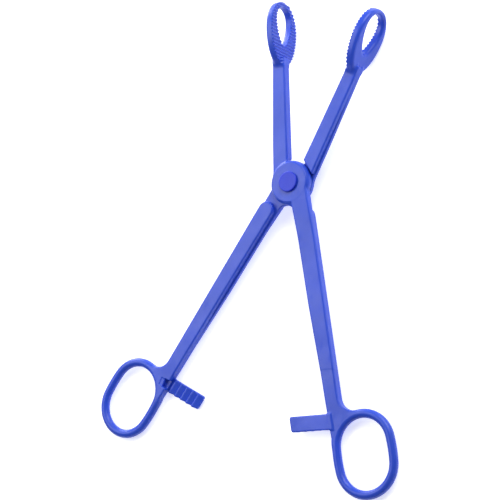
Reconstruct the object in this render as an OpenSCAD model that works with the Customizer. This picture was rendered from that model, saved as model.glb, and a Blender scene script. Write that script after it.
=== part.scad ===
// Scissor-action print tongs: two identical lever mouldings, turned over to each other, on a snap rivet.
// The origin is the middle of the pivot. +Y runs towards the jaws and +Z towards the rivet's head.

/* [Pose] */
// Angle of each lever from the middle line in the stored pose
half_open = 14.9; // [0:0.1:30]

/* [Arms] */
// Thickness of both arms
arm_t = 4.8; // [4.4:0.1:5.6]
// Width of the jaw arm at the pivot
jaw_arm_w = 7.7; // [6.5:0.1:8]
// Width of the jaw arm at the jaw loop
jaw_arm_tip_w = 6.7; // [6:0.1:7.5]
// Distance of the jaw arm's outer face from the pivot
jaw_arm_outer = 8.95; // [8.5:0.05:9.5]
// Distance from the pivot at which the jaw arm ends
jaw_arm_len = 60; // [55:1:65]
// Splay of the handle arm away from the jaw arm's direction
splay = 8.4; // [6:0.1:10]
// Width of the handle arm at the pivot
handle_w = 8.4; // [7.5:0.1:9]
// Width of the handle arm where it runs into the finger loop
handle_tip_w = 7.0; // [6:0.1:8]
// Extra width of the lap half along the outer side of the jaw arm
jaw_ledge = 0.7; // [0.4:0.1:1.2]
// Extra width of the lap half along the inner side of the handle arm
handle_ledge = 0.8; // [0.5:0.1:1.5]

/* [Pivot] */
// Gap between the two lap faces
lap_gap = 0.3; // [0.3:0.05:0.6]
// Radius of the round lap disc
disc_r = 10.4; // [10:0.1:11.2]
// Height of the round boss above the arm's face
boss_h = 1.4; // [1:0.1:2]
// Radius of the bore in each lever
bore_r = 3.05; // [2.8:0.05:3.3]
// Radius of the recess in the boss that takes the rivet's barbs
recess_r = 4.2; // [3.9:0.1:4.4]
// Distance from the pivot to the shoulder where the jaw arm becomes full thickness
shoulder_r = 11.4; // [11.3:0.1:13]

/* [Rivet] */
// Radius of the rivet's head
head_r = 4.9; // [4.7:0.1:6]
// Height of the rivet's head
head_h = 1.2; // [0.8:0.1:2]
// Radial clearance of the rivet's shank in a bore
shank_play = 0.05; // [0.02:0.01:0.1]
// Clearance under the rivet's head
head_play = 0.1; // [0.05:0.05:0.3]
// Radius over the rivet's barbs
barb_r = 3.8; // [3.5:0.1:3.8]
// Width of the slot between the rivet's two legs
slot_w = 1.4; // [1:0.1:1.8]

/* [Jaw loop] */
// Length of the jaw loop
jaw_len = 32; // [28:0.5:34]
// Width of the jaw loop
jaw_w = 21.8; // [18:0.2:24]
// Depth of the jaw loop's band, from gripping face to back
jaw_depth = 4.4; // [3.4:0.1:5]
// Length of the window in the jaw loop
window_len = 19.4; // [17:0.2:20]
// Width of the window in the jaw loop
window_w = 12.2; // [10:0.2:13]
// Lean of the gripping face towards the middle line
jaw_lean = 1.7; // [0:0.1:2]
// Pitch of the gripping ridges
ridge_pitch = 1.6; // [1.2:0.1:2]
// Depth of the grooves between the gripping ridges
ridge_h = 0.8; // [0.3:0.1:1]

/* [Finger loop] */
// Distance from the pivot to the middle of the finger loop, along the middle line
loop_y = 130; // [128:0.5:134]
// Distance from the middle line to the middle of the finger loop
loop_x = 35.5; // [35:0.1:36]
// Radius of the finger loop's round ends, to the middle of its bar
loop_end_r = 14.2; // [13.8:0.1:14.6]
// Half of the finger loop's length, to the middle of its bar
loop_half_l = 18.4; // [17.6:0.2:19.4]
// Radius of the finger loop's bar
loop_bar_r = 2.1; // [1.8:0.1:2.4]
// Radius of the concave fillet between the handle arm and the finger loop
loop_fillet_r = 9; // [8:0.5:10]

/* [Ratchet] */
// Distance from the pivot to the middle of the ratchet bar
ratchet_y = 114.6; // [112:0.1:116]
// Width of the ratchet bar
ratchet_w = 7.4; // [5.5:0.1:7.5]
// Distance that the ratchet bar reaches past the middle line
ratchet_reach = 3; // [2:0.5:5]
// Pitch of the ratchet teeth
tooth_pitch = 3.8; // [3:0.1:4.5]
// Height of the ratchet teeth
tooth_h = 1.2; // [0.5:0.1:1.2]

/* [Hidden] */
$fn = 64;

lever_blue = [0.22, 0.32, 0.82];
rivet_blue = [0.22, 0.24, 0.84];

// Heights above the middle plane
half_t = arm_t / 2;
lap_z = lap_gap / 2;
boss_z = half_t + boss_h;

// Depth by which neighbouring solids run into each other, and a length past every outline
bite = 0.2;
far = 300;

// Jaw arm: inner face at the pivot and at the jaw, and the tilt of its shoulder
jaw_in = jaw_arm_outer - jaw_arm_w;
jaw_tip_in = jaw_arm_outer - jaw_arm_tip_w;
shoulder_tilt = 29.8;
jaw_ledge_end = 20;

// Jaw arm's end inside the jaw loop: its length, and how far each face draws in there
arm_end = 2.5;
arm_end_start = 2;
arm_end_in = 1.4;
arm_end_out = 0.5;

// Handle arm: its faces are straight lines between these two distances below the pivot
handle_top = 20;
handle_end = 104;
handle_mid_x = 4.4;
ledge_end = 91;
ledge_taper = 60;
handle_slope = tan(splay);
end_r = handle_w / 2 - 0.05;
end_y = 17;

// Crotch fillet between the lap disc and the handle arm
crotch_r = 4;

// Boss: its face is smaller than its root by the radius of its fillet
boss_face_r = disc_r - 1;
boss_fillet_r = 2.4;
ramp_end = 32;

// Jaw loop: where its gripping face crosses the loop's middle
jaw_x = -2.95;
jaw_y = 77;
jaw_mid = -2;
jaw_taper = 0.13;
window_mid = 1.75;
window_taper = 0.3;
back_step = 0.9;
ridges_past_jaw = 2;

// Finger loop: middle of each round end
end_mid = loop_half_l - loop_end_r;

// Ratchet: teeth stand clear of the middle plane, so that the two bars pass
crest_z = lap_z + 0.05;
valley_z = crest_z + tooth_h;
teeth = 4;
first_tooth_x = 1.5;
tooth_drop = 0.05;
first_rise = tooth_pitch + 1;
bar_face_z = half_t - 0.1;
bar_root = 2;
corner = 1.2;
pocket_depth_x = 23.2;
pocket_open_x = 5;
pocket_w = 4.8;

// Mean width of the handle arm's half section at a distance d below the pivot
function handle_half(d) =
    (handle_w + (handle_tip_w - handle_w) * (d - handle_top) / (handle_end - handle_top)) / 2;
function handle_mid(d) = handle_mid_x + handle_slope * d;
function inner_face(d) = handle_mid(d) - handle_half(d);
function outer_face(d) = handle_mid(d) + handle_half(d);

// An egg-shaped outline: half length l, half width w, wider at its +X end by the taper k
function egg(mid, l, w, k) =
    [for (a = [0:6:354]) [mid + l * cos(a), w * sin(a) * (1 + k * cos(a))]];

// Places its children in the finger loop's own frame, with +Y along the handle arm
module at_loop() {
    translate([loop_x, -loop_y, 0]) rotate([0, 0, splay]) children();
}

// Outline of the jaw arm's full-thickness half, which ends in a slanted shoulder at the pivot
module jaw_arm_outline() {
    difference() {
        polygon([
            [-jaw_in, 0],
            [-jaw_tip_in, jaw_arm_len - arm_end_start],
            [-jaw_tip_in - arm_end_in, jaw_arm_len + arm_end],
            [-jaw_arm_outer + arm_end_out, jaw_arm_len + arm_end],
            [-jaw_arm_outer, jaw_arm_len],
            [-jaw_arm_outer, 0]
        ]);
        rotate([0, 0, shoulder_tilt]) translate([-far / 2, shoulder_r - far]) square(far);
    }
}

// Outline of the handle arm's full-thickness half, with its round end near the pivot
module handle_outline() {
    polygon([
        [inner_face(end_y), -end_y],
        [outer_face(end_y), -end_y],
        [outer_face(handle_end), -handle_end],
        [inner_face(handle_end), -handle_end]
    ]);
    translate([handle_mid(end_y), -end_y]) circle(r = end_r);
}

// Outline of the half-thickness lap plate, which runs along both arms as a narrow ledge
module lap_outline() {
    circle(r = disc_r);
    polygon([
        [-jaw_in, 0],
        [-jaw_tip_in, jaw_arm_len],
        [-jaw_arm_outer, jaw_arm_len],
        [-jaw_arm_outer - jaw_ledge, jaw_ledge_end],
        [-jaw_arm_outer - jaw_ledge, 0]
    ]);
    handle_lap_outline();
    crotch_fillet();
}

// Outline of the lap plate along the handle arm, with its narrow ledge
module handle_lap_outline() {
    polygon([
        [inner_face(0) - handle_ledge, 0],
        [outer_face(0), 0],
        [outer_face(ledge_end), -ledge_end],
        [inner_face(ledge_end), -ledge_end],
        [inner_face(ledge_taper) - handle_ledge, -ledge_taper]
    ]);
}

// Concave fillet between the lap disc and the handle arm's inner ledge
module crotch_fillet() {
    lean = atan(handle_slope);
    reach = disc_r + crotch_r;
    side_x = (inner_face(0) - handle_ledge) * cos(lean) - crotch_r;
    along = sqrt(pow(reach, 2) - pow(side_x, 2));
    rotate([0, 0, lean]) difference() {
        polygon([
            [side_x * disc_r / reach, -along * disc_r / reach],
            [side_x, -along],
            [side_x + crotch_r + bite, -along],
            [side_x + crotch_r + bite, -along + 2 * crotch_r]
        ]);
        translate([side_x, -along]) circle(r = crotch_r);
    }
}

// Half-thickness lap and the round boss on it, with a fillet that dies into the jaw arm
module lap_and_boss() {
    translate([0, 0, lap_z]) linear_extrude(half_t - lap_z) lap_outline();
    translate([0, 0, half_t - bite]) cylinder(r = boss_face_r, h = boss_h + bite);
    intersection() {
        translate([0, 0, half_t - bite]) rotate_extrude() difference() {
            square([boss_face_r + boss_fillet_r, boss_h + bite]);
            translate([boss_face_r + boss_fillet_r, boss_fillet_r + bite]) circle(r = boss_fillet_r);
        }
        translate([0, 0, half_t - bite]) linear_extrude(boss_h + bite) lap_outline();
    }
    intersection() {
        translate([-far / 2, 0, 0]) rotate([90, 0, 90]) linear_extrude(far)
            polygon([[0, half_t - bite], [0, boss_z], [-boss_face_r, boss_z], [-ramp_end, half_t - bite]]);
        linear_extrude(boss_z) handle_lap_outline();
    }
}

// Jaw loop: an egg-shaped band across the arm with a narrower back and ridges on its gripping face
module jaw_loop() {
    steps = ceil((jaw_len + 2 * ridges_past_jaw) / ridge_pitch);
    start = jaw_mid - jaw_len / 2 - ridges_past_jaw;
    translate([jaw_x, jaw_y, 0]) rotate([0, 0, -jaw_lean]) intersection() {
        union() {
            jaw_band(-jaw_depth + back_step, 1, 0);
            jaw_band(-jaw_depth, 1, back_step);
        }
        translate([0, 0, -jaw_w]) linear_extrude(2 * jaw_w) polygon(concat(
            [[-jaw_depth, start + steps * ridge_pitch], [-jaw_depth, start]],
            [for (i = [0:steps - 1], s = [0, 1]) [s == 0 ? -ridge_h : 0, start + (i + s / 2) * ridge_pitch]],
            [[-ridge_h, start + steps * ridge_pitch]]
        ));
    }
}

// Egg-shaped band from x to the gripping side, narrowed on both edges by an inset
module jaw_band(x, x_end, inset) {
    translate([x, 0, 0]) rotate([90, 0, 90]) linear_extrude(x_end - x) difference() {
        polygon(egg(jaw_mid, jaw_len / 2 - inset, jaw_w / 2 - inset, jaw_taper));
        polygon(egg(window_mid, window_len / 2 + inset, window_w / 2 + inset, window_taper));
    }
}

// Round end of the finger loop's bar, which starts at angle a
module loop_round_end(a) {
    rotate([0, 0, a]) rotate_extrude(angle = 180, $fn = 96)
        translate([loop_end_r, 0]) circle(r = loop_bar_r, $fn = 48);
}

// Finger loop: two round ends joined by two straight sides
module finger_loop() {
    at_loop() {
        translate([0, end_mid, 0]) loop_round_end(0);
        translate([0, -end_mid, 0]) loop_round_end(180);
        for (side = [-1, 1])
            translate([side * loop_end_r, -end_mid, 0]) rotate([-90, 0, 0])
                cylinder(r = loop_bar_r, h = 2 * end_mid, $fn = 48);
    }
}

// Web that carries the handle arm into the finger loop, with a concave fillet on its outer side
module loop_web() {
    wall_u = -8.4;
    inner_u = -15.1;
    inner_len = 9;
    foot_u = -loop_end_r - 0.8;
    fillet_u = wall_u + loop_fillet_r;
    reach = loop_end_r + loop_bar_r + loop_fillet_r;
    fillet_v = end_mid + sqrt(pow(reach, 2) - pow(fillet_u, 2));
    at_loop() intersection() {
        linear_extrude(arm_t, center = true) polygon(concat(
            [for (a = [90:6:180]) [loop_end_r * cos(a), end_mid + loop_end_r * sin(a)]],
            [[foot_u, end_mid], [inner_u, fillet_v - inner_len], [inner_u, fillet_v], [wall_u, fillet_v]],
            [for (a = [186:6:264]) [fillet_u + loop_fillet_r * cos(a), fillet_v + loop_fillet_r * sin(a)]]
        ));
        // The web thins from the arm's thickness to the bar's
        translate([-far / 2, 0, 0]) rotate([90, 0, 90]) linear_extrude(far) polygon([
            [0, -loop_bar_r],
            [end_mid + loop_end_r, -loop_bar_r],
            [fillet_v, -half_t],
            [fillet_v + 1, -half_t],
            [fillet_v + 1, half_t],
            [fillet_v, half_t],
            [end_mid + loop_end_r, loop_bar_r],
            [0, loop_bar_r]
        ]);
    }
}

// Ratchet bar in the lap half, with saw teeth on the face that passes the other bar
module ratchet_bar() {
    y_top = -ratchet_y + ratchet_w / 2;
    y_low = -ratchet_y - ratchet_w / 2;
    tip_low = -ratchet_reach + ratchet_w * handle_slope;
    root_x = inner_face(ratchet_y) + bar_root;
    past_root = 30;
    past_tip = -10;
    chamfer = 0.3 * corner;
    intersection() {
        linear_extrude(bar_face_z) polygon([
            [root_x, y_top],
            [-ratchet_reach + corner, y_top],
            [-ratchet_reach + chamfer, y_top - chamfer],
            [-ratchet_reach + corner * handle_slope, y_top - corner],
            [tip_low - corner * handle_slope, y_low + corner],
            [tip_low + chamfer, y_low + chamfer],
            [tip_low + corner, y_low],
            [root_x, y_low]
        ]);
        translate([first_tooth_x, -ratchet_y, 0]) rotate([90, 0, splay])
            linear_extrude(2 * ratchet_w, center = true) polygon(concat(
                [[past_root, bar_face_z], [past_tip, bar_face_z]],
                [[past_tip, valley_z], [-first_rise, valley_z]],
                [for (i = [0:teeth]) each [
                    [(i - tooth_drop) * tooth_pitch, crest_z],
                    [i * tooth_pitch, valley_z]
                ]],
                [[past_root, crest_z]]
            ));
    }
}

// Pocket in the other half of the arm, where the ratchet bar starts
module ratchet_pocket() {
    translate([pocket_open_x, -ratchet_y - pocket_w / 2, -arm_t])
        cube([pocket_depth_x - pocket_open_x, pocket_w, arm_t + lap_z]);
}

// One lever, with its lap half on the +Z side
module lever() {
    difference() {
        union() {
            lap_and_boss();
            translate([0, 0, -half_t]) linear_extrude(arm_t) jaw_arm_outline();
            translate([0, 0, -half_t]) linear_extrude(arm_t) handle_outline();
            jaw_loop();
            finger_loop();
            difference() {
                loop_web();
                ratchet_pocket();
            }
            ratchet_bar();
        }
        translate([0, 0, -arm_t]) cylinder(r = bore_r, h = 2 * arm_t + boss_h);
        translate([0, 0, half_t]) cylinder(r = recess_r, h = 2 * boss_h);
    }
}

module front_lever() {
    color(lever_blue) rotate([0, 0, half_open]) lever();
}

module rear_lever() {
    color(lever_blue) rotate([0, 180, 0]) rotate([0, 0, half_open]) lever();
}

// Snap rivet: a flat round head with a soft edge, a shank and two barbed legs
module pivot_rivet() {
    shank_r = bore_r - shank_play;
    head_z = boss_z + head_play;
    edge = 0.5;
    tail_play = 0.1;
    tail_taper = 0.3;
    barb_len = 0.5;
    color(rivet_blue) difference() {
        rotate_extrude() polygon(concat(
            [[0, -boss_z + tail_play], [shank_r - tail_taper, -boss_z + tail_play]],
            [[barb_r, -half_t - barb_len], [barb_r, -half_t], [shank_r, -half_t]],
            [[shank_r, head_z], [head_r, head_z]],
            [for (a = [0:15:90])
                [head_r - edge + edge * cos(a), head_z + head_h - edge + edge * sin(a)]],
            [[0, head_z + head_h]]
        ));
        translate([-slot_w / 2, -far / 2, -far]) cube([slot_w, far, far + 1]);
    }
}

front_lever();
rear_lever();
pivot_rivet();
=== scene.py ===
"""Blue plastic print tongs: two identical moulded levers on a snap rivet, lying on a pale floor."""

import math

import bpy
import numpy as np
from mathutils import Matrix, Vector


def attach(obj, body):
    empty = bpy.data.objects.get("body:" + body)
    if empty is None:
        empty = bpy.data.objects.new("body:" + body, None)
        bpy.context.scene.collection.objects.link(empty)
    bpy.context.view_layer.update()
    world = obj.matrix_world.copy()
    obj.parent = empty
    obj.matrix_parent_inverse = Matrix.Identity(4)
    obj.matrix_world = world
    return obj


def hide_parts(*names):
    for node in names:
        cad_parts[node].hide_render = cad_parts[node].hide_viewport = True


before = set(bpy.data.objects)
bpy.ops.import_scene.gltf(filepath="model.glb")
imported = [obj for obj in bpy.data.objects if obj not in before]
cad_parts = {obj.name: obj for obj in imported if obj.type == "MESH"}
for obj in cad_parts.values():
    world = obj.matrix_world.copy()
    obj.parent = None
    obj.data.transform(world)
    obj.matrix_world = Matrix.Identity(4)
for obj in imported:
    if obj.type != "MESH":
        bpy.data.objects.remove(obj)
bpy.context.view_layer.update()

# ---------------------------------------------------------------- dimensions, in millimetres
# They repeat part.scad, in the frame of one lever: its lap half is on the +Z side. What the moulding
# adds to the CAD is here too: edge radii, wear, draft and the soft neck of the jaw. A name that ends
# in SCALE turns a height over a slanted face into a distance from it.
HALF_OPEN = math.radians(14.9)
SPLAY = math.radians(8.4)
HALF_T = 2.4
LAP_Z = 0.15
BOSS_Z = 3.8
DISC_R = 10.4
BOSS_R = 9.4
BORE_R = 3.05
RECESS_R = 4.2
EDGE_R = 0.7
BOSS_EDGE_R, BOSS_FILLET_R = 0.35, 2.4

JAW_IN, JAW_IN_SLOPE = 1.25, 1.0 / 58
JAW_OUT, JAW_LEDGE = 8.95, 0.7
JAW_ARM_END, JAW_LAP_END, JAW_LEDGE_RUN = 62.5, 60, 40
SHOULDER_R, SHOULDER_TILT = 11.4, math.radians(29.8)

HANDLE_MID = 4.4
HANDLE_W, HANDLE_TIP_W = 8.4, 7.0
HANDLE_TOP, HANDLE_END = 20.0, 104.0
HANDLE_LEDGE, LEDGE_TAPER, LEDGE_END = 0.8, 60.0, 91.0
END_Y, END_R = 17.0, 4.15
CROTCH_R = 4.0
RAMP_END, RAMP_LOW, RAMP_SCALE, RAMP_BLEND = 32.0, 2.2, 0.995, 0.25

JAW_AT = (-2.95, 77.0)
JAW_LEAN = math.radians(-1.7)
JAW_MID, JAW_HALF_L, JAW_HALF_W, JAW_TAPER, JAW_BLUNT = -2.0, 16.0, 10.89, 0.13, 2.15
WINDOW_MID, WINDOW_HALF_L, WINDOW_HALF_W, WINDOW_TAPER = 1.75, 9.7, 6.1, 0.3
JAW_DEPTH, JAW_BACK_R, JAW_FACE_R = 4.4, 1.7, 0.3
RIDGE_PITCH, RIDGE_H, RIDGE_START, RIDGE_SCALE = 1.6, 0.8, 20.0, 0.8
# The neck's blend between the jaw arm and the jaw loop grows from its middle to its rims
NECK_CRISP, NECK_BLEND, NECK_MIDDLE, NECK_RUN = 0.4, 2.2, 0.8, 1.8

LOOP_AT = (35.5, -130.0)
LOOP_END_R, LOOP_HALF_W, LOOP_HALF_L, BAR_R = 14.0, 14.2, 18.4, 2.1
END_MID = LOOP_HALF_L - LOOP_END_R
SIDE_BOW = LOOP_HALF_W - LOOP_END_R
SIDE_MID = (END_MID**2 - SIDE_BOW**2) / (2 * SIDE_BOW)
SIDE_R = SIDE_MID + LOOP_HALF_W
LOOP_FILLET_R = 9.0
# The web: where its strip of arm starts, the inner end of its fillet, and the runs over which it
# thickens from the bar's thickness to the arm's and dies into the bar
STRIP_TOP, FILLET_IN = 90, -12
WEB_THICK_V, WEB_THICK_RUN = 18, 11
WEB_U, WEB_U_RUN, WEB_V, WEB_V_RUN = 1.5, 7, 3, 9

RATCHET_Y, RATCHET_W, RATCHET_TIP = 114.6, 7.4, -3.0
TOOTH_PITCH, TEETH, FIRST_TOOTH_X = 3.8, 4, 1.5
# A tooth's long slope takes up 0.95 of the pitch, and the rest is its steep side
TOOTH_SLOPE, TOOTH_SCALE, LAST_TOOTH_RUN = 0.95, 0.9, 4
CREST_WEAR, CREST_WEAR_START = 0.2, 0.78
TOOTH_DRAFT, DRAFT_TOP, DRAFT_RUN = 0.3, 2.1, 0.8
CREST_Z, VALLEY_Z, RATCHET_TOP = 0.2, 1.4, 2.3
BAR_CORNER_R, BAR_EDGE_R, BAR_ROOT, BAR_FILLET_R = 1.2, 0.5, 2, 0.8
# The pocket beside the bar's root is a shallow dimple with a deep slot in it
POCKET_X, POCKET_W, POCKET_DEEP_X, POCKET_SHALLOW, DIMPLE_INSET = 22.8, 4.4, 20.6, 0.5, 0.4

HEAD_R, HEAD_Z, HEAD_HALF_H, HEAD_EDGE_R = 4.9, 4.5, 0.6, 0.5
SHANK_R, SHANK_Z, SHANK_HALF_H, SHANK_EDGE_R = 3.0, 0.35, 4.05, 0.15
BARB_R, BARB_TOP, BARB_LEAD, BARB_END, BARB_SPREAD = 3.8, 2.4, 2.9, 3.7, 1.375
BARB_SCALE = 0.59
SLOT_HALF_W, SLOT_TOP = 0.7, 1.0


# ---------------------------------------------------------------- distance functions
def rounded(side, top, r):
    """Distance to a solid with walls at side = 0 and a face at top = 0, whose edge has radius r."""
    a, b = side + r, top + r
    return np.minimum(np.maximum(a, b), 0) + np.hypot(np.maximum(a, 0), np.maximum(b, 0)) - r


def melt(a, b, k):
    """Union of two solids that run into each other softly."""
    h = np.clip(0.5 + 0.5 * (b - a) / k, 0, 1)
    return b + (a - b) * h - k * h * (1 - h)


def fillet(a, b, r):
    """Union of two solids with a concave fillet of radius r between them."""
    return np.maximum(r, np.minimum(a, b)) - np.hypot(np.maximum(r - a, 0), np.maximum(r - b, 0))


def both(*parts):
    """Intersection of solids."""
    d = parts[0]
    for p in parts[1:]:
        d = np.maximum(d, p)
    return d


def smooth(t):
    """A soft step from 0 to 1 as t goes from 0 to 1."""
    t = np.clip(t, 0, 1)
    return t * t * (3 - 2 * t)


def egg(y, z, mid, length, width, taper, blunt=2.0):
    """Distance to an egg-shaped outline that is wider towards +y. Blunt squares its lower end."""
    v = (y - mid) / length
    w = width * (1 + taper * np.clip(v, -1, 1))
    p = np.abs(z) / w
    n = np.where(v < 0, blunt, 2.0)
    q = np.maximum((np.abs(v) ** n + p**n) ** (1 / n), 0.05)
    steep = np.hypot((np.abs(v) / q) ** (n - 1) / length, (p / q) ** (n - 1) / w)
    return (q - 1) / steep


def oval(u, v):
    """Distance to the finger loop's centre line, positive outside it."""
    u, v = np.abs(u), np.abs(v)
    side = np.hypot(u + SIDE_MID, v) - SIDE_R
    end = np.hypot(u, v - END_MID) - LOOP_END_R
    return np.where(v * SIDE_MID < END_MID * (u + SIDE_MID), side, end)


def handle_sides(x, y):
    """The handle arm's middle line and half width at each point."""
    d = -y
    half = (HANDLE_W + (HANDLE_TIP_W - HANDLE_W) * (d - HANDLE_TOP) / (HANDLE_END - HANDLE_TOP)) / 2
    return x - HANDLE_MID - math.tan(SPLAY) * d, half


def lap_and_boss(x, y, z):
    """The half-thickness lap, the ledges along both arms and the round boss."""
    r = np.hypot(x, y)
    u, half = handle_sides(x, y)
    c = math.cos(SPLAY)
    ledge = JAW_LEDGE * np.clip((JAW_LAP_END - y) / JAW_LEDGE_RUN, 0, 1)
    jaw = both(x + JAW_IN + y * JAW_IN_SLOPE, -x - JAW_OUT - ledge, -y, y - JAW_LAP_END)
    ledge = HANDLE_LEDGE * np.clip((LEDGE_END + y) / (LEDGE_END - LEDGE_TAPER), 0, 1)
    handle = both((-u - half - ledge) * c, (u - half) * c, y, -y - LEDGE_END)
    disc = r - DISC_R
    # The crotch between the disc and the handle arm's inner side is filleted
    crotch = np.where(u < 0, fillet(disc, handle, CROTCH_R), np.minimum(disc, handle))
    slope = (BOSS_Z - RAMP_LOW) / (RAMP_END - BOSS_R)
    ramp = np.clip(BOSS_Z + slope * (y + BOSS_R), HALF_T, BOSS_Z)
    plate = rounded(np.minimum(jaw, crotch), z - HALF_T, EDGE_R)
    boss = rounded(r - BOSS_R, z - BOSS_Z, BOSS_EDGE_R)
    plate = both(fillet(boss, plate, BOSS_FILLET_R), z - BOSS_Z)
    sloped = rounded(handle, (z - ramp) * RAMP_SCALE, EDGE_R)
    return both(melt(plate, sloped, RAMP_BLEND), LAP_Z - z)


def jaw_arm(x, y, z):
    """The full-thickness jaw arm, which ends in a slanted shoulder at the pivot."""
    shoulder = SHOULDER_R + math.sin(SHOULDER_TILT) * x - math.cos(SHOULDER_TILT) * y
    outline = both(x + JAW_IN + y * JAW_IN_SLOPE, -x - JAW_OUT, shoulder, y - JAW_ARM_END)
    return rounded(outline, np.abs(z) - HALF_T, EDGE_R)


def jaw_loop(x, y, z):
    """The egg-shaped loop with its ridged gripping face and strongly rounded back."""
    dx, dy = x - JAW_AT[0], y - JAW_AT[1]
    c, s = math.cos(JAW_LEAN), math.sin(JAW_LEAN)
    dx, dy = dx * c + dy * s, dy * c - dx * s
    outer = egg(dy, z, JAW_MID, JAW_HALF_L, JAW_HALF_W, JAW_TAPER, JAW_BLUNT)
    window = egg(dy, z, WINDOW_MID, WINDOW_HALF_L, WINDOW_HALF_W, WINDOW_TAPER)
    band = both(outer, -window)
    t = (dy + RIDGE_START) / RIDGE_PITCH
    ridge = -RIDGE_H * np.abs(1 - 2 * (t - np.floor(t)))
    body = rounded(band, -dx - JAW_DEPTH, JAW_BACK_R)
    face = rounded(band, dx, JAW_FACE_R)
    return both(body, face, (dx - ridge) * RIDGE_SCALE)


def handle_and_loop(x, y, z):
    """The full-thickness handle arm, the web and the finger loop's round bar."""
    u, half = handle_sides(x, y)
    arm = (np.abs(u) - half) * math.cos(SPLAY)
    top = np.hypot(x - HANDLE_MID - math.tan(SPLAY) * END_Y, y + END_Y) - END_R
    outline = np.minimum(both(arm, y + END_Y, -y - HANDLE_END), top)
    handle = rounded(outline, np.abs(z) - HALF_T, EDGE_R)
    dx, dy = x - LOOP_AT[0], y - LOOP_AT[1]
    c, s = math.cos(SPLAY), math.sin(SPLAY)
    u, v = dx * c + dy * s, dy * c - dx * s
    line = oval(u, v)
    bar = np.hypot(line, z) - BAR_R
    strip = both(arm, y + STRIP_TOP)
    rim = line - BAR_R
    joined = np.where(u > FILLET_IN, fillet(strip, rim, LOOP_FILLET_R), np.minimum(strip, rim))
    web = both(joined, -line)
    thick = BAR_R + (HALF_T - BAR_R) * smooth((v - WEB_THICK_V) / WEB_THICK_RUN)
    web = np.minimum(rounded(web, np.abs(z) - thick, EDGE_R), bar)
    # The web's flat faces die into the round bar on both sides of the arm
    w = smooth((WEB_U - u) / WEB_U_RUN) * smooth((v - WEB_V) / WEB_V_RUN)
    return np.minimum(handle, bar + (web - bar) * w)


def ratchet_bar(x, y, z):
    """The ratchet bar in the lap half, with saw teeth on its lower face."""
    c, s, t = math.cos(SPLAY), math.sin(SPLAY), math.tan(SPLAY)
    y_top, y_low = -RATCHET_Y + RATCHET_W / 2, -RATCHET_Y - RATCHET_W / 2
    u, half = handle_sides(x, y)
    tip = (RATCHET_TIP + (y_top - y) * t - x) * c
    n = ((x - FIRST_TOOTH_X) * c + (y + RATCHET_Y) * s) / TOOTH_PITCH
    saw = np.clip((n - np.floor(n)) / TOOTH_SLOPE, 0, 1)
    saw = np.where(n > TEETH, (n - TEETH) / LAST_TOOTH_RUN, saw)
    # Each crest is worn round
    saw = saw - CREST_WEAR * np.clip((saw - CREST_WEAR_START) / (1 - CREST_WEAR_START), 0, 1) ** 2
    # The teeth's sides are drafted: their valleys are a little narrower than the bar
    draft = TOOTH_DRAFT * (1 - saw) * smooth((DRAFT_TOP - z) / DRAFT_RUN)
    sides = np.maximum(y - y_top, y_low - y) + draft
    outline = both(rounded(sides, tip, BAR_CORNER_R), u + half - BAR_ROOT)
    teeth = VALLEY_Z - (VALLEY_Z - CREST_Z) * saw
    return both(rounded(outline, z - RATCHET_TOP, BAR_EDGE_R), (teeth - z) * TOOTH_SCALE)


def lever(x, y, z):
    """Distance to one whole lever."""
    r = np.hypot(x, y)
    # The loop's rims run softly into the arm, but its gripping face ends in a crisp line
    neck = NECK_CRISP + NECK_BLEND * smooth((np.abs(z) - NECK_MIDDLE) / NECK_RUN)
    d = melt(jaw_arm(x, y, z), jaw_loop(x, y, z), neck)
    d = np.minimum(d, handle_and_loop(x, y, z))
    across = np.abs(y + RATCHET_Y) - POCKET_W / 2
    d = both(d, -both(across, x - POCKET_DEEP_X, z - LAP_Z))
    d = both(d, -both(across + DIMPLE_INSET, x - POCKET_X, z + HALF_T - POCKET_SHALLOW))
    d = np.minimum(d, lap_and_boss(x, y, z))
    d = fillet(d, ratchet_bar(x, y, z), BAR_FILLET_R)
    return both(d, BORE_R - r, -both(r - RECESS_R, HALF_T - z))


def rivet(x, y, z):
    """Distance to the snap rivet: a soft-edged head, a shank and two barbed legs."""
    r = np.hypot(x, y)
    head = rounded(r - HEAD_R, np.abs(z - HEAD_Z) - HEAD_HALF_H, HEAD_EDGE_R)
    shank = rounded(r - SHANK_R, np.abs(z - SHANK_Z) - SHANK_HALF_H, SHANK_EDGE_R)
    lead = (r - BARB_R - (z + BARB_LEAD) * BARB_SPREAD) * BARB_SCALE
    barbs = both(lead, r - BARB_R, z + BARB_TOP, -z - BARB_END)
    slot = both(np.abs(x) - SLOT_HALF_W, z - SLOT_TOP)
    return both(np.minimum(np.minimum(head, shank), barbs), -slot)


# ---------------------------------------------------------------- meshing
# The grid is sampled in blocks of this many points a side, and a block counts as near the surface
# when its middle is closer than this many block sides
BLOCK, BLOCK_REACH = 8, 1.6
CORNERS = [(i, j, k) for i in (0, 1) for j in (0, 1) for k in (0, 1)]


def sample(solid, low, cells, h):
    """The solid's distance on a grid, evaluated only in the blocks near its surface."""
    blocks = [math.ceil((n + 1) / BLOCK) for n in cells]
    at = np.stack(np.meshgrid(*[np.arange(n) for n in blocks], indexing="ij"), -1).reshape(-1, 3)
    mid = low + (at * BLOCK + (BLOCK - 1) / 2) * h
    far = solid(*mid.T.astype(np.float32))
    near = np.abs(far) < BLOCK * h * BLOCK_REACH
    field = np.repeat(far[:, None], BLOCK**3, 1)
    inner = np.stack(np.meshgrid(*[np.arange(BLOCK)] * 3, indexing="ij"), -1).reshape(-1, 3)
    where = low + (at[near][:, None] * BLOCK + inner[None]) * h
    p = where.reshape(-1, 3).astype(np.float32)
    field[near] = solid(p[:, 0], p[:, 1], p[:, 2]).reshape(-1, BLOCK**3)
    field = field.reshape(*blocks, BLOCK, BLOCK, BLOCK).transpose(0, 3, 1, 4, 2, 5)
    return field.reshape([n * BLOCK for n in blocks])


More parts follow.
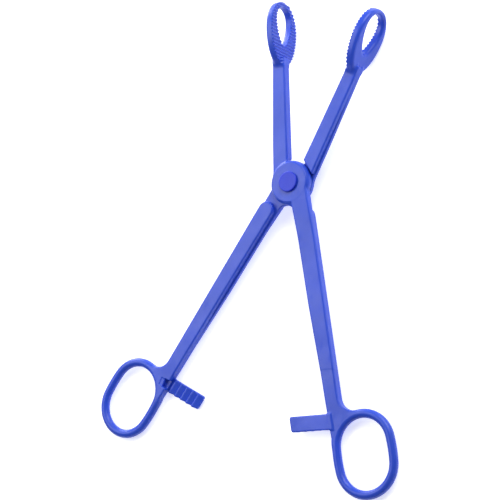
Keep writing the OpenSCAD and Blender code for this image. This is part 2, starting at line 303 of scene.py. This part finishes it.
def surface(solid, low, high, h):
    """A quad mesh of the solid: one vertex in each cell that its surface crosses."""
    low = np.array(low, float)
    f = sample(solid, low, [math.ceil((b - a) / h) for a, b in zip(low, high)], h)
    inside = f < 0
    count = np.zeros([n - 1 for n in f.shape], np.int8)
    for i, j, k in CORNERS:
        count += inside[i : f.shape[0] - 1 + i, j : f.shape[1] - 1 + j, k : f.shape[2] - 1 + k]
    cell = np.argwhere((count > 0) & (count < 8))
    index = np.full(count.shape, -1, np.int64)
    index[tuple(cell.T)] = np.arange(len(cell))
    total, hits = np.zeros((len(cell), 3)), np.zeros(len(cell))
    for a in CORNERS:
        for axis in range(3):
            if a[axis]:
                continue
            b = tuple(1 if n == axis else a[n] for n in range(3))
            fa, fb = f[tuple((cell + a).T)], f[tuple((cell + b).T)]
            cross = (fa < 0) != (fb < 0)
            t = np.where(cross, fa / np.where(cross, fa - fb, 1), 0)
            p = cell + np.array(a) + t[:, None] * (np.array(b) - np.array(a))
            total += np.where(cross[:, None], p, 0)
            hits += cross
    verts = low + total / hits[:, None] * h
    quads = []
    for axis in range(3):
        one, two = (axis + 1) % 3, (axis + 2) % 3
        step = np.eye(3, dtype=int)
        first = [slice(None)] * 3
        second = [slice(None)] * 3
        first[axis], second[axis] = slice(0, -1), slice(1, None)
        flip = inside[tuple(first)] != inside[tuple(second)]
        edge = np.argwhere(flip)
        edge = edge[(edge[:, one] > 0) & (edge[:, two] > 0)]
        edge = edge[np.all(edge < np.array(count.shape), 1)]
        ring = [edge, edge - step[one], edge - step[one] - step[two], edge - step[two]]
        quad = np.stack([index[tuple(c.T)] for c in ring], 1)
        out = inside[tuple(edge.T)]
        quads.append(np.where(out[:, None], quad, quad[:, ::-1]))
    return settle(solid, verts, h), np.concatenate(quads)


def settle(solid, verts, h):
    """Moves each vertex onto the solid's surface, by no more than half a cell."""
    start, e = verts.copy(), 0.02
    for _ in range(3):
        grad = np.stack(
            [(solid(*(verts + d).T) - solid(*(verts - d).T)) / (2 * e) for d in np.eye(3) * e], 1
        )
        norm = np.maximum((grad**2).sum(1), 0.3)
        verts = verts - (solid(*verts.T) / norm)[:, None] * grad
        verts = start + np.clip(verts - start, -h / 2, h / 2)
    return verts


def piece(name, verts, quads, matrix, material):
    """A smooth-shaded Blender mesh of a solid made in millimetres."""
    mesh = bpy.data.meshes.new(name)
    mesh.vertices.add(len(verts))
    mesh.vertices.foreach_set("co", (verts * 0.001).astype(np.float32).ravel())
    mesh.loops.add(quads.size)
    mesh.loops.foreach_set("vertex_index", quads.astype(np.int32).ravel())
    mesh.polygons.add(len(quads))
    mesh.polygons.foreach_set("loop_start", np.arange(0, quads.size, 4, dtype=np.int32))
    mesh.update(calc_edges=True)
    mesh.validate()
    mesh.transform(matrix)
    mesh.polygons.foreach_set("use_smooth", [True] * len(mesh.polygons))
    mesh.materials.append(material)
    obj = bpy.data.objects.new(name, mesh)
    bpy.context.scene.collection.objects.link(obj)
    return obj


# ---------------------------------------------------------------- materials
def plastic(name, colour, roughness, shift):
    """Moulded polypropylene: faint flow clouding, a fine mould texture and light scuffs."""
    mat = bpy.data.materials.new(name)
    mat.use_nodes = True
    nodes, links = mat.node_tree.nodes, mat.node_tree.links
    shader = nodes["Principled BSDF"]
    shader.inputs["IOR"].default_value = 1.49
    shader.inputs["Subsurface Weight"].default_value = 0.15
    shader.inputs["Subsurface Radius"].default_value = (0.0006, 0.0009, 0.003)
    shader.inputs["Subsurface Scale"].default_value = 1.0
    coords = nodes.new("ShaderNodeTexCoord")
    place = nodes.new("ShaderNodeMapping")
    place.inputs["Location"].default_value = (shift, shift * 0.7, shift * 0.3)
    links.new(coords.outputs["Object"], place.inputs["Vector"])

    def noise(scale, detail):
        n = nodes.new("ShaderNodeTexNoise")
        n.inputs["Scale"].default_value = scale
        n.inputs["Detail"].default_value = detail
        n.inputs["Roughness"].default_value = 0.55
        links.new(place.outputs["Vector"], n.inputs["Vector"])
        return n.outputs["Fac"]

    def bump(height, strength, distance):
        n = nodes.new("ShaderNodeBump")
        n.inputs["Strength"].default_value = strength
        n.inputs["Distance"].default_value = distance
        links.new(height, n.inputs["Height"])
        return n

    def spread(source, low, high, start=0.3, end=0.7):
        """Maps the noise between start and end to low and high."""
        n = nodes.new("ShaderNodeMapRange")
        n.inputs["From Min"].default_value, n.inputs["From Max"].default_value = start, end
        n.inputs["To Min"].default_value, n.inputs["To Max"].default_value = low, high
        links.new(source, n.inputs["Value"])
        return n.outputs["Result"]

    # Flow clouding: the pigment is a little denser in some places than in others
    ramp = nodes.new("ShaderNodeValToRGB")
    ramp.color_ramp.elements[0].position, ramp.color_ramp.elements[1].position = 0.3, 0.72
    ramp.color_ramp.elements[0].color = [c * 0.9 for c in colour] + [1]
    ramp.color_ramp.elements[1].color = [min(c * 1.08, 1) for c in colour] + [1]
    links.new(noise(55, 4), ramp.inputs["Fac"])
    links.new(ramp.outputs["Color"], shader.inputs["Base Color"])

    # Roughness: broad handling polish and fine scuffs
    broad = spread(noise(90, 3), roughness - 0.05, roughness + 0.06)
    stretch = nodes.new("ShaderNodeMapping")
    stretch.inputs["Scale"].default_value = (900, 120, 900)
    stretch.inputs["Rotation"].default_value = (0, 0, 0.5)
    links.new(coords.outputs["Object"], stretch.inputs["Vector"])
    scuff = nodes.new("ShaderNodeTexNoise")
    scuff.inputs["Scale"].default_value = 1
    scuff.inputs["Detail"].default_value = 2
    links.new(stretch.outputs["Vector"], scuff.inputs["Vector"])
    scuffs = spread(scuff.outputs["Fac"], 0.0, 0.14, 0.62, 0.74)
    add = nodes.new("ShaderNodeMath")
    links.new(broad, add.inputs[0])
    links.new(scuffs, add.inputs[1])
    links.new(add.outputs[0], shader.inputs["Roughness"])

    # Relief: the mould's fine grain over a slight waviness from shrinkage
    fine = bump(noise(3200, 3), 0.25, 0.00004)
    wavy = bump(noise(160, 1), 0.3, 0.0004)
    links.new(wavy.outputs["Normal"], fine.inputs["Normal"])
    links.new(fine.outputs["Normal"], shader.inputs["Normal"])
    return mat


lever_mat = plastic("lever_plastic", (0.018, 0.07, 0.61), 0.36, 0.0)
rivet_mat = plastic("rivet_plastic", (0.012, 0.04, 0.66), 0.5, 0.4)

# ---------------------------------------------------------------- the three pieces
LEVER_LOW, LEVER_HIGH, LEVER_CELL = (-11.5, -153.5, -11.5), (54, 93, 11.5), 0.35
RIVET_LOW, RIVET_HIGH, RIVET_CELL = (-5.6, -5.6, -4.4), (5.6, 5.6, 5.8), 0.16
verts, quads = surface(lever, LEVER_LOW, LEVER_HIGH, LEVER_CELL)
turn = Matrix.Rotation(HALF_OPEN, 4, "Z")
front = piece("front_lever_moulding", verts, quads, turn, lever_mat)
over = Matrix.Rotation(math.pi, 4, "Y") @ turn
rear = piece("rear_lever_moulding", verts, quads, over, lever_mat)
verts, quads = surface(rivet, RIVET_LOW, RIVET_HIGH, RIVET_CELL)
pin = piece("pivot_rivet_moulding", verts, quads, Matrix.Identity(4), rivet_mat)

for obj, body, node, slot in (
    (front, "front_body", "front_lever", "lever"),
    (rear, "rear_body", "rear_lever", "lever"),
    (pin, "rear_body", "pivot_rivet", "rivet"),
):
    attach(obj, body)
    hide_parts(node)


# ---------------------------------------------------------------- floor, light and camera
def white(name, value, roughness, glow):
    """A pale matt paper with faint mottling, which also glows a little: painted light that lifts the
    shadows cast on it.
    """
    mat = bpy.data.materials.new(name)
    mat.use_nodes = True
    nodes, links = mat.node_tree.nodes, mat.node_tree.links
    shader = nodes["Principled BSDF"]
    shader.inputs["Roughness"].default_value = roughness
    shader.inputs["Specular IOR Level"].default_value = 0.0
    shader.inputs["Emission Color"].default_value = (1, 1, 1, 1)
    # The glow is painted light: it fills in the shadows the tongs cast on the floor
    shader.inputs["Emission Strength"].default_value = glow
    noise = nodes.new("ShaderNodeTexNoise")
    noise.inputs["Scale"].default_value = 3
    ramp = nodes.new("ShaderNodeValToRGB")
    for element, shade in zip(ramp.color_ramp.elements, (value, value * 1.01)):
        element.color = (shade, shade, shade, 1)
    links.new(noise.outputs["Fac"], ramp.inputs["Fac"])
    links.new(ramp.outputs["Color"], shader.inputs["Base Color"])
    return mat


# The tongs rest on the edges of the jaw loops and on the far ends of the finger loops, so the floor
# leans a little. Each pair is the y and z of a resting place, in metres.
JAW_REST, LOOP_REST = (0.0755, -0.0112), (-0.1366, -0.0023)
tilt = math.atan2(JAW_REST[1] - LOOP_REST[1], JAW_REST[0] - LOOP_REST[0])
FLOOR = 4.0
corners = [(-FLOOR, -FLOOR, 0), (FLOOR, -FLOOR, 0), (FLOOR, FLOOR, 0), (-FLOOR, FLOOR, 0)]
mesh = bpy.data.meshes.new("floor")
mesh.from_pydata(corners, [], [(0, 1, 2, 3)])
floor = bpy.data.objects.new("floor", mesh)
floor.data.materials.append(white("floor_white", 0.93, 0.9, 0.55))
floor.location = (0, JAW_REST[0], JAW_REST[1])
floor.rotation_euler = (tilt, 0, 0)
bpy.context.scene.collection.objects.link(floor)

world = bpy.data.worlds.new("studio")
bpy.context.scene.world = world
world.use_nodes = True
sky = world.node_tree.nodes["Background"]
sky.inputs["Color"].default_value = (1, 1, 1, 1)
sky.inputs["Strength"].default_value = 0.26

# The camera's place and axes, at the photograph's viewing angle
CAMERA_AT, LENS = (0.4492, -0.0794, 0.6669), 122.4
RIGHT = Vector((0.8092, 0.2030, -0.5514))
UP = Vector((-0.1359, 0.9776, 0.1605))
BACK = Vector((0.5716, -0.0550, 0.8187))


def lamp(name, side, up, back, distance, size, power):
    """A square soft light whose direction from the pivot is given along the camera's axes."""
    data = bpy.data.lights.new(name, "AREA")
    data.shape, data.size, data.energy = "SQUARE", size, power
    obj = bpy.data.objects.new(name, data)
    way = (RIGHT * side + UP * up + BACK * back).normalized()
    obj.location = way * distance
    obj.rotation_euler = way.to_track_quat("Z", "Y").to_euler()
    bpy.context.scene.collection.objects.link(obj)


lamp("left", -0.92, 0.27, 0.3, 1.0, 0.65, 4.5)
lamp("top", 0.1, 0.85, 0.6, 1.1, 0.7, 9.5)
lamp("rim", -0.63, 0.66, -0.36, 1.0, 0.35, 5)

data = bpy.data.cameras.new("camera")
data.sensor_width, data.lens = 36, LENS
data.clip_start, data.clip_end = 0.01, 50
camera = bpy.data.objects.new("camera", data)
turn = Matrix((RIGHT, UP, BACK)).transposed().to_4x4()
camera.matrix_world = Matrix.Translation(CAMERA_AT) @ turn
bpy.context.scene.collection.objects.link(camera)
bpy.context.scene.camera = camera
bpy.context.scene.view_settings.view_transform = "Standard"
